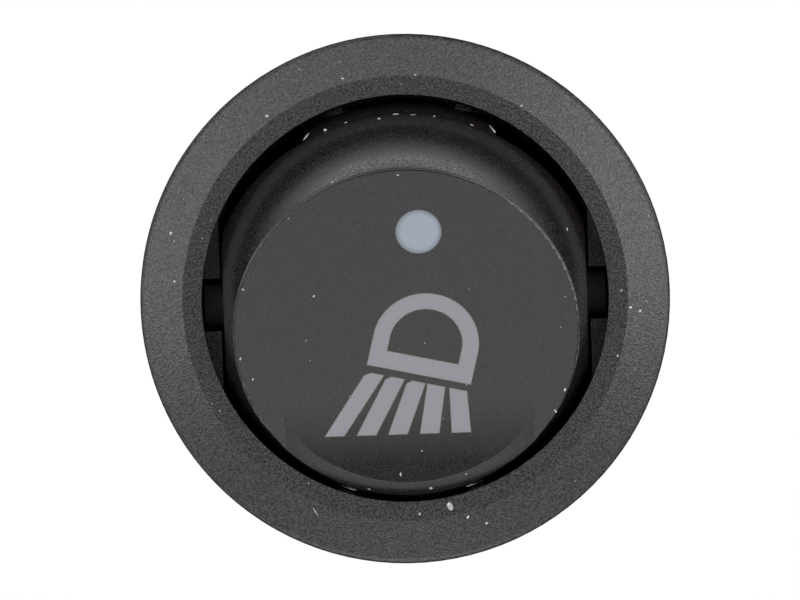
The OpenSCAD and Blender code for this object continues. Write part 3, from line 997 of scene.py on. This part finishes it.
@dataclass
class PlungerSpring:
    """Compression spring over the plunger's spigot, wound closed at both ends."""

    # Drawn wire keeps fine lines along its length: a cool grey with thin, bright streaks.
    wire: Finish = StampedSheet(
        "drawn_spring_steel", "#a9abae", 0.32, tarnish="#8e9094", line=0.04
    )
    axes: RockerAxes = field(default_factory=RockerAxes)
    wire_d: float = 0.3
    wire_corners: int = 14
    coil_radius: float = 0.93
    turns: float = 6.0
    closing: float = 0.55
    steps: int = 288
    keep: float = 0.78

    def build(self) -> Piece:
        """Winds the spring along the rocker's own axis, between spigot seat and bore end.

        Returns:
            The spring, which rides on the rocker.
        """
        heights = [point.z for point in self.axes.corners("plunger_spring")]
        low, high = min(heights), max(heights)
        sizes = {
            "Turns": self.turns,
            "Coil radius": self.coil_radius * MM,
            "Wire radius": self.wire_d * MM / 2,
            "Wire corners": self.wire_corners,
            "Height": high - low - self.wire_d * MM,
            "Closing": self.closing,
            "Steps": self.steps,
        }
        coil = {
            "Resolution": "per_turn.0",
            "Rotations": "size.Turns",
            "Start Radius": "size.Coil radius",
            "End Radius": "size.Coil radius",
            "Height": "size.Height",
        }
        section = {"Resolution": "size.Wire corners", "Radius": "size.Wire radius"}
        winding = {"Curve": "closed.Geometry", "Profile Curve": "section.Curve", "Fill Caps": True}
        # The pitch shrinks towards both ends: a full sine wave along the wire lowers each
        # point by its share of the height.
        rows = {
            "per_turn": ("ShaderNodeMath:DIVIDE", {0: "size.Steps", 1: "size.Turns"}),
            "spiral": ("GeometryNodeCurveSpiral", coil),
            "along": ("GeometryNodeSplineParameter", {}),
            "phase": ("ShaderNodeMath:MULTIPLY", {0: "along.Factor", 1: math.tau}),
            "wave": ("ShaderNodeMath:SINE", {0: "phase.0"}),
            "share": ("ShaderNodeMath:MULTIPLY", {0: "wave.0", 1: "size.Closing"}),
            "drop": ("ShaderNodeMath:MULTIPLY", {0: "share.0", 1: "size.Height"}),
            "fall": ("ShaderNodeMath:DIVIDE", {0: "drop.0", 1: -math.tau}),
            "shift": ("ShaderNodeCombineXYZ", {"Z": "fall.0"}),
            "closed": (
                "GeometryNodeSetPosition", {"Geometry": "spiral.Curve", "Offset": "shift.Vector"}
            ),
            "section": ("GeometryNodeCurvePrimitiveCircle", section),
            "wound": ("GeometryNodeCurveToMesh", winding),
        }
        tree = GeometryTree("plunger_spring_coil", sizes)
        piece = tree.bake(rows, "wound.Mesh", self.wire.build())
        to_frame = self.axes.to_frame
        seat = Matrix.Translation((0.0, 0.0, low + self.wire_d * MM / 2))
        piece.data.transform(to_frame @ seat)
        ride(piece, Body.ROCKER)
        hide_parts("plunger_spring")
        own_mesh(piece)
        return piece


@dataclass
class Mechanism:
    """Plunger, contact lever, contacts and terminals."""

    # Natural acetal is a waxy off-white, with a soft shade where light sinks in.
    acetal: Finish = MilkyPlastic("natural_acetal", "#e6e3da", 0.4, ior=1.48)
    # Rolled copper strip: a warm salmon with lines across the lever.
    copper: Finish = StampedSheet(
        "rolled_copper_strip", "#c58a63", 0.3, tarnish="#9c6845", run=(1.0, 0.04, 1.0)
    )
    # Pressed silver alloy: the whitest and brightest of the metals, with no lines.
    silver: Finish = StampedSheet(
        "silver_contact_alloy", "#d9d8d6", 0.28, tarnish="#bdbbb6", run=NO_RUN
    )
    # Stamped brass: a yellow sheen, lined along the blade and clouded by light tarnish.
    brass: Finish = StampedSheet("stamped_brass", "#c9ae68", 0.3, tarnish="#a98b4b")
    # Tin over brass: the same lines under a duller, cloudy silver-grey.
    tinned: Finish = StampedSheet("tin_plated_brass", "#c9c8c2", 0.34, tarnish="#adaba3")
    spring: PlungerSpring = field(default_factory=PlungerSpring)

    def dress(self) -> None:
        """Gives every metal and moulded part of the mechanism its finish."""
        for finish, solids in (
            (self.acetal, ("plunger",)),
            (self.copper, ("contact_lever",)),
            (self.silver, ("moving_contact", "fixed_contact")),
            (self.brass, ("supply_terminal", "load_terminal")),
            (self.tinned, ("earth_terminal", "lamp_terminal", "board_link")),
        ):
            material = finish.build()
            for solid in solids:
                paint(solid, material)


@dataclass
class LampBoard:
    """The board with its lamps and chips, soldered to the two lamp terminals and the link."""

    # Green mask over copper: a glossy deep green, paler and a step higher over the tracks.
    mask: Finish = SolderMask("green_solder_mask", "#1f5c36", 0.35)
    # Fresh solder: a bright, smooth silver that mirrors its surroundings softly.
    solder: Finish = StampedSheet(
        "bright_solder", "#cfd0d0", 0.22, tarnish="#b4b5b4", run=NO_RUN
    )
    # White moulded cup: a clean cream white round a yellow window of phosphor.
    package: LampBody = LampBody("white_lamp_package", "#e9e6dc", 0.45, window=0.48)
    # Glazed or moulded chips: small glossy black blocks with silver ends.
    chips: tuple[tuple[str, str, str], ...] = (
        ("indicator_resistor", "glazed_resistor", "#242426"),
        ("symbol_resistor", "glazed_resistor", "#242426"),
        ("protection_diode", "moulded_diode", "#2d2d31"),
    )
    chip_roughness: float = 0.3
    fillet_radius: float = 1.0
    fillet_height: float = 0.45
    fillet_top: float = 0.5
    fillet_waist: float = -0.4
    fillet_corners: int = 40
    fillet_rings: int = 10

    def dress(self) -> None:
        """Gives the board and its parts their finishes."""
        paint("circuit_board", self.mask.build())
        middle = middle_of("indicator_led")
        package = replace(self.package, axis_x=middle.x, axis_y=middle.y).build()
        for node in ("indicator_led", "symbol_led"):
            paint(node, package)
        for node, name, colour in self.chips:
            low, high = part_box(node)
            chip = CappedChip(
                name,
                colour,
                self.chip_roughness,
                middle=(low.y + high.y) / 2,
                half=(high.y - low.y) / 2,
            )
            paint(node, chip.build())

    def solder_joints(self) -> Piece:
        """Sets a fillet of solder round each tail that comes up through the board.

        Returns:
            The fillets, as one piece on the fixed body.
        """
        sizes = {
            "Foot radius": self.fillet_radius * MM,
            "Neck radius": self.fillet_radius * self.fillet_top * MM,
            "Height": self.fillet_height * MM,
            "Waist": self.fillet_waist,
            "Corners": self.fillet_corners,
            "Rings": self.fillet_rings,
        }
        cone = {
            "Vertices": "size.Corners",
            "Side Segments": "size.Rings",
            "Radius Bottom": "size.Foot radius",
            "Radius Top": "size.Neck radius",
            "Depth": "size.Height",
        }
        rows = {
            "cone": ("GeometryNodeMeshCone", cone),
            "place": ("GeometryNodeInputPosition", {}),
            "axes": ("ShaderNodeSeparateXYZ", {"Vector": "place.Position"}),
            "share": ("ShaderNodeMath:DIVIDE", {0: "axes.Z", 1: "size.Height"}),
            "waist": ("ShaderNodeMath:PINGPONG", {0: "share.0", 1: 0.5}),
            "pull": ("ShaderNodeMath:MULTIPLY_ADD", {0: "waist.0", 1: "size.Waist", 2: 1.0}),
            "squeeze": ("ShaderNodeCombineXYZ", {"X": "pull.0", "Y": "pull.0", "Z": 1.0}),
            "hollow": (
                "ShaderNodeVectorMath:MULTIPLY", {0: "place.Position", 1: "squeeze.Vector"}
            ),
            "fillet": (
                "GeometryNodeSetPosition", {"Geometry": "cone.Mesh", "Position": "hollow.Vector"}
            ),
            "fillets": (
                "GeometryNodeInstanceOnPoints",
                {"Points": "size.Base", "Instance": "fillet.Geometry"},
            ),
        }
        board_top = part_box("circuit_board")[1].z
        tails = ("earth_terminal", "lamp_terminal", "board_link")
        spots = [(*middle_of(tail).xy, board_top) for tail in tails]
        tree = GeometryTree("solder_fillets", sizes, point_mesh("solder_spots", spots))
        piece = tree.bake(rows, "fillets.Instances", self.solder.build())
        return ride(piece, Body.FIXED)


# ---- lint --------------------------------------------------------------------


@dataclass
class Lint:
    """Crumbs that have settled on one moulding: a few large ones, and many fine ones."""

    # Each crumb is x, y, length, width and a turn in degrees.
    node: str
    body: Body
    crumbs: tuple[tuple[float, float, float, float, float], ...]
    fine: int
    inner: float
    outer: float
    # Lint is matt and pale: small off-white specks, each a little different in tone.
    finish: Finish = SettledLint("settled_lint", "#dcdad6", 0.9)
    fine_length: float = 0.045
    fine_spread: Point = (0.7, 1.6)
    fine_width: float = 0.7
    flatness: float = 0.4
    start: float = 1
    drop: float = 40
    smallest: float = 0.75
    unevenness: float = 0.45
    lump_scale: float = 2.2
    roundness: int = 2
    seed: int = 7

    def spots(self) -> bpy.types.Mesh:
        """Sets a vertex over each crumb's place, with its length, width and turn.

        Returns:
            The vertices as a mesh.
        """
        draw = random.Random(self.seed)
        rows = list(self.crumbs)
        for _ in range(self.fine):
            reach = math.sqrt(draw.uniform(self.inner**2, self.outer**2))
            way = draw.uniform(0, math.tau)
            length = self.fine_length * draw.uniform(*self.fine_spread)
            turn = draw.uniform(0, 180)
            width = length * self.fine_width
            rows.append((reach * math.cos(way), reach * math.sin(way), length, width, turn))
        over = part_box(self.node)[1].z + self.start * MM
        places = [(x * MM, y * MM, over) for x, y, *_ in rows]
        mesh = point_mesh(f"{self.node}_spots", places)
        for label, column in (("length", 2), ("width", 3), ("turn", 4)):
            values = mesh.attributes.new(label, "FLOAT", "POINT")
            values.data.foreach_set("value", [row[column] for row in rows])
        return mesh

    def build(self) -> Piece:
        """Drops each crumb on the moulding and lays it flat there.

        Returns:
            The crumbs, as one piece on the moulding's body.
        """
        sizes = {
            "Unit": MM,
            "Flatness": self.flatness,
            "Drop": self.drop * MM,
            "Smallest": self.smallest,
            "Unevenness": self.unevenness,
            "Lump scale": self.lump_scale,
            "Roundness": self.roundness,
        }
        ray = {
            "Target Geometry": "under.Geometry",
            "Ray Direction": (0.0, 0.0, -1.0),
            "Ray Length": "size.Drop",
        }
        landing = {
            "Geometry": "size.Base", "Selection": "hit.Is Hit", "Position": "hit.Hit Position"
        }
        scatter = {
            "Points": "landed.Geometry",
            "Selection": "hit.Is Hit",
            "Instance": "crumb.Geometry",
            "Rotation": "laid.0",
            "Scale": "scale.Vector",
        }
        named, number = "GeometryNodeInputNamedAttribute", {"data_type": "FLOAT"}
        rows = {
            "under": ("GeometryNodeObjectInfo", {"Object": frame["nodes"][self.node]}),
            "hit": ("GeometryNodeRaycast", ray),
            "landed": ("GeometryNodeSetPosition", landing),
            "lean": (
                "FunctionNodeAlignRotationToVector", {"Vector": "hit.Hit Normal"}, {"axis": "Z"}
            ),
            "length": (named, {"Name": "length"}, number),
            "width": (named, {"Name": "width"}, number),
            "turn": (named, {"Name": "turn"}, number),
            "angle": ("ShaderNodeMath:RADIANS", {0: "turn.Attribute"}),
            "spin": (
                "FunctionNodeAxisAngleToRotation", {"Axis": (0.0, 0.0, 1.0), "Angle": "angle.0"}
            ),
            "laid": (
                "FunctionNodeRotateRotation",
                {"Rotation": "lean.0", "Rotate By": "spin.0"},
                {"rotation_space": "LOCAL"},
            ),
            "thick": ("ShaderNodeMath:MULTIPLY", {0: "width.Attribute", 1: "size.Flatness"}),
            "spread": (
                "ShaderNodeCombineXYZ",
                {"X": "length.Attribute", "Y": "width.Attribute", "Z": "thick.0"},
            ),
            "scale": ("ShaderNodeVectorMath:SCALE", {0: "spread.Vector", "Scale": "size.Unit"}),
            "ball": (
                "GeometryNodeMeshIcoSphere", {"Radius": 0.5, "Subdivisions": "size.Roundness"}
            ),
            "place": ("GeometryNodeInputPosition", {}),
            "lumps": (
                "ShaderNodeTexNoise", {"Vector": "place.Position", "Scale": "size.Lump scale"}
            ),
            "swell": (
                "ShaderNodeMath:MULTIPLY_ADD",
                {0: "lumps.Fac", 1: "size.Unevenness", 2: "size.Smallest"},
            ),
            "shaped": ("ShaderNodeVectorMath:SCALE", {0: "place.Position", "Scale": "swell.0"}),
            "crumb": (
                "GeometryNodeSetPosition", {"Geometry": "ball.Mesh", "Position": "shaped.Vector"}
            ),
            "scattered": ("GeometryNodeInstanceOnPoints", scatter),
        }
        tree = GeometryTree(f"{self.node}_lint", sizes, self.spots())
        return ride(tree.bake(rows, "scattered.Instances", self.finish.build()), self.body)


HOUSING_LINT = Lint(
    "housing",
    Body.FIXED,
    (
        (1.64, -9.07, 0.38, 0.24, 115),
        (2.40, -9.57, 0.16, 0.1, 60),
        (3.21, -9.86, 0.13, 0.08, 30),
        (0.31, -9.36, 0.12, 0.08, 100),
        (-2.4, 9.6, 0.12, 0.08, 20),
        (-10.06, 3.15, 0.16, 0.12, 80),
        (-9.96, 1.06, 0.13, 0.1, 10),
        (10.15, -0.89, 0.13, 0.1, 40),
        (9.74, -0.72, 0.12, 0.09, 140),
        (9.37, 0.02, 0.11, 0.08, 90),
        (-5.73, 8.09, 0.14, 0.1, 0),
        (0.75, 9.66, 0.13, 0.07, 0),
        (5.31, 8.17, 0.12, 0.08, 50),
        (9.11, -2.8, 0.1, 0.07, 70),
        (-4.2, -9.1, 0.5, 0.03, 120),
    ),
    fine=24,
    inner=8.95,
    outer=11.2,
)
ROCKER_LINT_AND_GLINTS = Lint(
    "rocker",
    Body.ROCKER,
    (
        # The first two crumbs are long pale strokes, painted glints on the edges of the rocker's
        # end tongue; the thin strokes near y 7.7 to 7.95 lie in a row along the top of the rocker's
        # wall.
        (4.02, 7.2, 0.8, 0.12, 92),
        (-4.05, 7.14, 0.7, 0.11, 84),
        (-3.2, 7.36, 0.2, 0.1, 15),
        (3.13, 7.38, 0.18, 0.09, 165),
        (-0.87, 7.76, 0.14, 0.1, 0),
        (-0.16, 7.95, 0.3, 0.05, 175),
        (0.6, 7.9, 0.26, 0.05, 5),
        (1.5, 7.8, 0.18, 0.05, 170),
        (-2.31, 7.67, 0.16, 0.06, 15),
        (0.84, -8.28, 0.15, 0.12, 0),
        (-0.45, -7.62, 0.18, 0.09, 90),
        (-1.83, -8.22, 0.17, 0.06, 160),
        (7.08, 2.72, 0.16, 0.08, 80),
        (6.34, -5.1, 0.18, 0.08, 60),
        (6.77, -4.2, 0.16, 0.08, 70),
        (-7.2, -2.4, 0.15, 0.07, 100),
        (-6.97, 0.57, 0.12, 0.09, 40),
        (-6.7, -3.3, 0.12, 0.07, 90),
        (-0.14, 5.23, 0.12, 0.1, 0),
        (-3.93, 0.18, 0.12, 0.07, 45),
        (-2.95, 5.02, 0.14, 0.06, 30),
        (2.39, -7.7, 0.1, 0.08, 0),
        (0.51, -6.64, 0.09, 0.07, 0),
    ),
    fine=12,
    inner=0.5,
    outer=6.9,
    seed=11,
)


# ---- studio ------------------------------------------------------------------


@dataclass
class Softbox:
    """A rectangular area lamp that looks at the switch; azimuth counts from +X towards +Y."""

    name: str
    azimuth: float
    elevation: float
    width: float
    height: float
    radiance: float
    distance: float = 320

    def place(self) -> None:
        """Hangs the lamp so that its radiance doesn't hang on its size or distance."""
        turn, rise = math.radians(self.azimuth), math.radians(self.elevation)
        way = Vector(
            (math.cos(turn) * math.cos(rise), math.sin(turn) * math.cos(rise), math.sin(rise))
        )
        lamp = bpy.data.lights.new(self.name, "AREA")
        lamp.shape = "RECTANGLE"
        lamp.size, lamp.size_y = self.width * MM, self.height * MM
        lamp.energy = self.radiance * math.pi * lamp.size * lamp.size_y
        holder = bpy.data.objects.new(self.name, lamp)
        holder.location = way * self.distance * MM
        holder.rotation_euler = way.to_track_quat("Z", "Y").to_euler()
        bpy.context.scene.collection.objects.link(holder)


@dataclass
class Studio:
    """White sweep, black card, soft lamps all round, a room lit by height, and the camera."""

    lamps: tuple[Softbox, ...] = (
        Softbox("softbox_left", 154, 55, 260, 150, 2.7),
        Softbox("softbox_right", 24, 55, 260, 150, 2.4),
        Softbox("softbox_back", 90, 57, 150, 120, 1.6),
        Softbox("strip_left", 180, 28, 60, 200, 4.0),
        Softbox("strip_right", 0, 28, 60, 200, 4.0),
        Softbox("softbox_right_low", 30, 36, 240, 240, 1.1),
        Softbox("softbox_front", 270, 49, 180, 180, 0.4),
        Softbox("softbox_front_low", 270, 25, 260, 120, 2.85),
    )
    paper: str = "#f2f2f2"
    paper_glow: float = 0.85
    floor_drop: float = 60
    floor_side: float = 6000
    # The room's light against the height of the way it comes from, from the horizon at 0 to
    # straight above at 1.
    room_level: float = 4.0
    room_steps: tuple[Point, ...] = (
        (0.0, 4.0),
        (0.065, 4.0),
        (0.09, 0.15),
        (0.4, 0.15),
        (0.6, 0.58),
        (0.78, 0.86),
        (0.9, 0.25),
        (1.0, 0.0),
    )
    card: str = "#0c0c0c"
    card_drop: float = 8
    card_inner: float = 14
    card_solid: float = 40
    card_outer: float = 100
    card_corners: int = 96
    camera_distance: float = 350
    view_width: float = 34.65
    lean: float = 0.8
    roll: float = 1.9
    aim_right: float = -0.225
    aim_up: float = -0.08
    sensor: float = 36
    nearest: float = 10
    farthest: float = 20000

    def room(self) -> None:
        """Lights the room by height: bright at the horizon, and a dim ring high up."""
        world = bpy.data.worlds.new("studio_room")
        bpy.context.scene.world = world
        rows = {
            "way": ("ShaderNodeTexCoord", {}),
            "axes": ("ShaderNodeSeparateXYZ", {"Vector": "way.Generated"}),
            "ramp": ("ShaderNodeValToRGB", {"Fac": "axes.Z"}),
            "light": (
                "ShaderNodeBackground", {"Color": "ramp.Color", "Strength": self.room_level}
            ),
            "end": ("ShaderNodeOutputWorld", {"Surface": "light.Background"}),
        }
        stops = wire(emptied(world), rows)["ramp"].color_ramp.elements
        while len(stops) < len(self.room_steps):
            stops.new(0.5)
        for stop, (place, level) in zip(stops, self.room_steps):
            stop.position = place
            stop.color = (level / self.room_level,) * 3 + (1.0,)

    def sweep(self) -> None:
        """Lays the white floor, which shows as white and still takes the shadow."""
        shape = bmesh.new()
        half = self.floor_side * MM / 2
        corners = ((-half, -half), (half, -half), (half, half), (-half, half))
        shape.faces.new([shape.verts.new((x, y, -self.floor_drop * MM)) for x, y in corners])
        rows = {
            "paper": ("ShaderNodeBsdfDiffuse", {"Color": linear(self.paper)}),
            "glow": ("ShaderNodeEmission", {"Color": linear("#ffffff"), "Strength": 1.0}),
            "ray": ("ShaderNodeLightPath", {}),
            "direct": ("ShaderNodeMath:MAXIMUM", {0: "ray.Is Camera Ray", 1: "ray.Is Glossy Ray"}),
            "seen": ("ShaderNodeMath:MAXIMUM", {0: "direct.0", 1: "ray.Is Transmission Ray"}),
            "share": ("ShaderNodeMath:MULTIPLY", {0: "seen.0", 1: self.paper_glow}),
            "mixed": (
                "ShaderNodeMixShader", {0: "share.0", 1: "paper.BSDF", 2: "glow.Emission"}
            ),
            "end": ("ShaderNodeOutputMaterial", {"Surface": "mixed.Shader"}),
        }
        # Matt paper: white to the lens and in every reflection, and greyer in the shadow.
        material = bpy.data.materials.new("white_paper_sweep")
        wire(emptied(material), rows)
        material.cycles.emission_sampling = "NONE"
        mesh_object("floor", shape, material)

    def flag(self) -> None:
        """Lays a black card round the barrel that only gloss sees, from above."""
        shape = bmesh.new()
        bmesh.ops.create_circle(shape, segments=self.card_corners, radius=self.card_outer * MM)
        outer = shape.edges[:]
        bmesh.ops.create_circle(shape, segments=self.card_corners, radius=self.card_inner * MM)
        bmesh.ops.bridge_loops(shape, edges=outer + [e for e in shape.edges if e not in outer])
        bmesh.ops.translate(shape, verts=shape.verts, vec=(0.0, 0.0, -self.card_drop * MM))
        band = {"Value": "reach.Value"}
        band |= {"From Min": self.card_solid * MM, "From Max": self.card_outer * MM}
        rows = {
            "nap": ("ShaderNodeBsdfDiffuse", {"Color": linear(self.card)}),
            "clear": ("ShaderNodeBsdfTransparent", {}),
            "place": ("ShaderNodeTexCoord", {}),
            "reach": ("ShaderNodeVectorMath:LENGTH", {0: "place.Object"}),
            "fade": ("ShaderNodeMapRange", band, {"interpolation_type": "SMOOTHSTEP"}),
            "side": ("ShaderNodeNewGeometry", {}),
            "open": ("ShaderNodeMath:MAXIMUM", {0: "fade.Result", 1: "side.Backfacing"}),
            "mixed": ("ShaderNodeMixShader", {0: "open.0", 1: "nap.BSDF", 2: "clear.BSDF"}),
            "end": ("ShaderNodeOutputMaterial", {"Surface": "mixed.Shader"}),
        }
        # Black velvet: it darkens what the rocker's side and the well reflect from below.
        material = bpy.data.materials.new("black_velvet_card")
        wire(emptied(material), rows)
        card = mesh_object("black_card", shape, material)
        card.visible_camera = card.visible_diffuse = card.visible_shadow = False

    def camera(self) -> None:
        """Hangs the camera over the switch, leaning a little to its front."""
        lean, roll = math.radians(self.lean), math.radians(self.roll)
        land = Vector((0.0, 0.0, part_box("housing")[1].z))
        back = Vector((0.0, -math.sin(lean), math.cos(lean)))
        right = Vector((math.cos(roll), -math.sin(roll), 0.0))
        right = (right - back * right.dot(back)).normalized()
        up = back.cross(right)
        target = land + (right * self.aim_right + up * self.aim_up) * MM
        data = bpy.data.cameras.new("camera")
        data.sensor_width = self.sensor
        data.lens = self.camera_distance * self.sensor / self.view_width
        data.clip_start, data.clip_end = self.nearest * MM, self.farthest * MM
        camera = bpy.data.objects.new("camera", data)
        turn = Matrix((right, up, back)).transposed().to_4x4()
        camera.matrix_world = Matrix.Translation(target + back * self.camera_distance * MM) @ turn
        bpy.context.scene.collection.objects.link(camera)
        bpy.context.scene.camera = camera

    def build(self) -> None:
        """Sets up the room, the floor, the card, the lamps and the camera."""
        bpy.context.scene.view_settings.view_transform = "Standard"
        self.room()
        self.sweep()
        self.flag()
        for lamp in self.lamps:
            lamp.place()
        self.camera()


def report(piece: Piece) -> None:
    """Logs a piece with its count of faces."""
    LOG.info("%s: %d faces", piece.name, len(piece.data.polygons))


def main() -> None:
    """Dresses the switch, adds its markings and small parts, and sets up the studio."""
    logging.basicConfig(level=logging.INFO, format="%(name)s: %(message)s")
    housing = Housing()
    report(housing.witness_marks(housing.dress()))
    rocker = Rocker()
    rocker.dress()
    for layer in rocker.marking.build():
        report(layer)
    mechanism = Mechanism()
    mechanism.dress()
    report(mechanism.spring.build())
    board = LampBoard()
    board.dress()
    report(board.solder_joints())
    for lint in (HOUSING_LINT, ROCKER_LINT_AND_GLINTS):
        report(lint.build())
    Studio().build()


if __name__ == "__main__":
    main()
